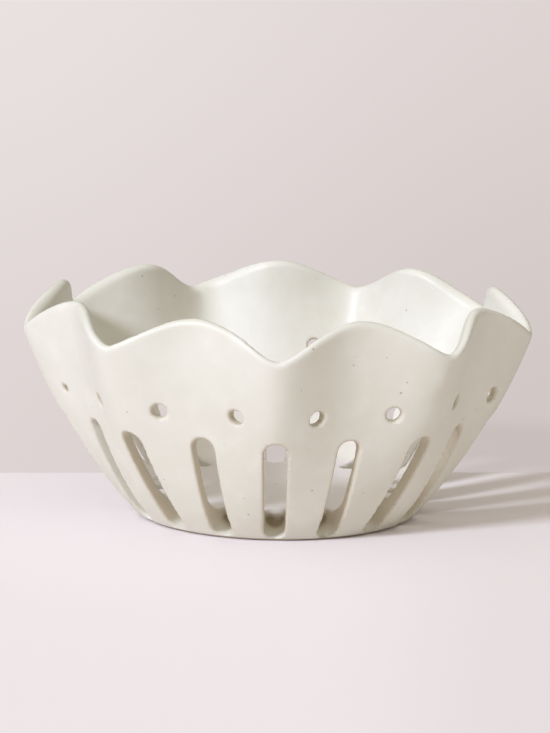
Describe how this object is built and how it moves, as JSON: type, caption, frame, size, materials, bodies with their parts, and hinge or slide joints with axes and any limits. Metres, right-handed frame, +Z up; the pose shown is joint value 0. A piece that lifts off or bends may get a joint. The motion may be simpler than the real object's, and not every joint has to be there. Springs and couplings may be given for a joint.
{
  "type": "berry colander bowl",
  "caption": "Round stoneware colander bowl for berries, with a fluted wall, a scalloped rim, upright drain slots and a row of round drain holes above them.",
  "frame": {"origin": "on the bowl's upright axis, at the table under the foot", "axes": "+Z up the bowl's axis, -Y towards the viewer through the middle of a ridge, +X to the viewer's right"},
  "size_m": [0.1946, 0.1921, 0.0871],
  "materials": {
    "glaze": "satin"
  },
  "bodies": {
    "root": {"rim_wall": "glaze", "wall_ribs": "glaze", "floor": "glaze", "foot_ring": "glaze"}
  },
  "joints": []
}
